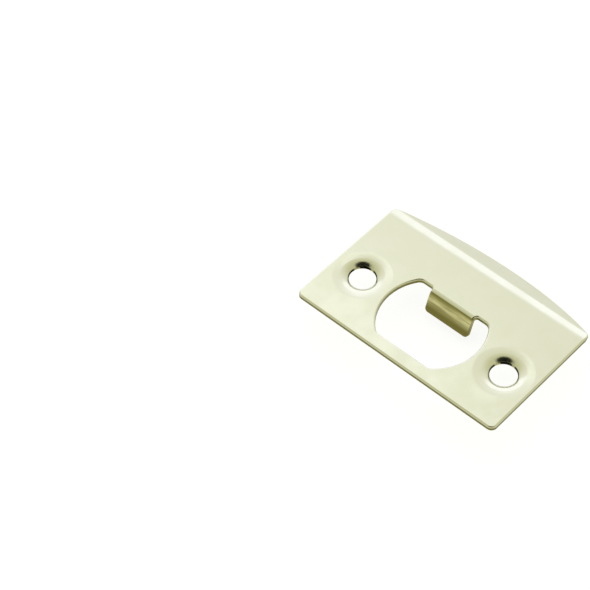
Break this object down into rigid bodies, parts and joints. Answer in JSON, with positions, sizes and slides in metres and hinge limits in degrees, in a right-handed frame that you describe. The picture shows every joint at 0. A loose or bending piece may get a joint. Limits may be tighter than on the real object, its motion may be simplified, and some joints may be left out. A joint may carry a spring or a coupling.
{
  "type": "door strike plate",
  "caption": "Flat pressed strike plate with a cut-off round latch opening and bent tang, dimpled screw holes and a curved lip bent back along one long edge.",
  "frame": {"origin": "midway between the two screw holes, which is also the centre of the latch opening's circle, on the flat back that lies against the door frame", "axes": "+X along the plate's length, +Y across it towards the bent lip, +Z square to the plate, out of the face seen in use"},
  "size_m": [0.0572, 0.0413, 0.0068],
  "materials": {
    "plated_sheet": "satin pale nickel plate"
  },
  "bodies": {
    "root": {"strike_plate": "plated_sheet"}
  },
  "joints": []
}
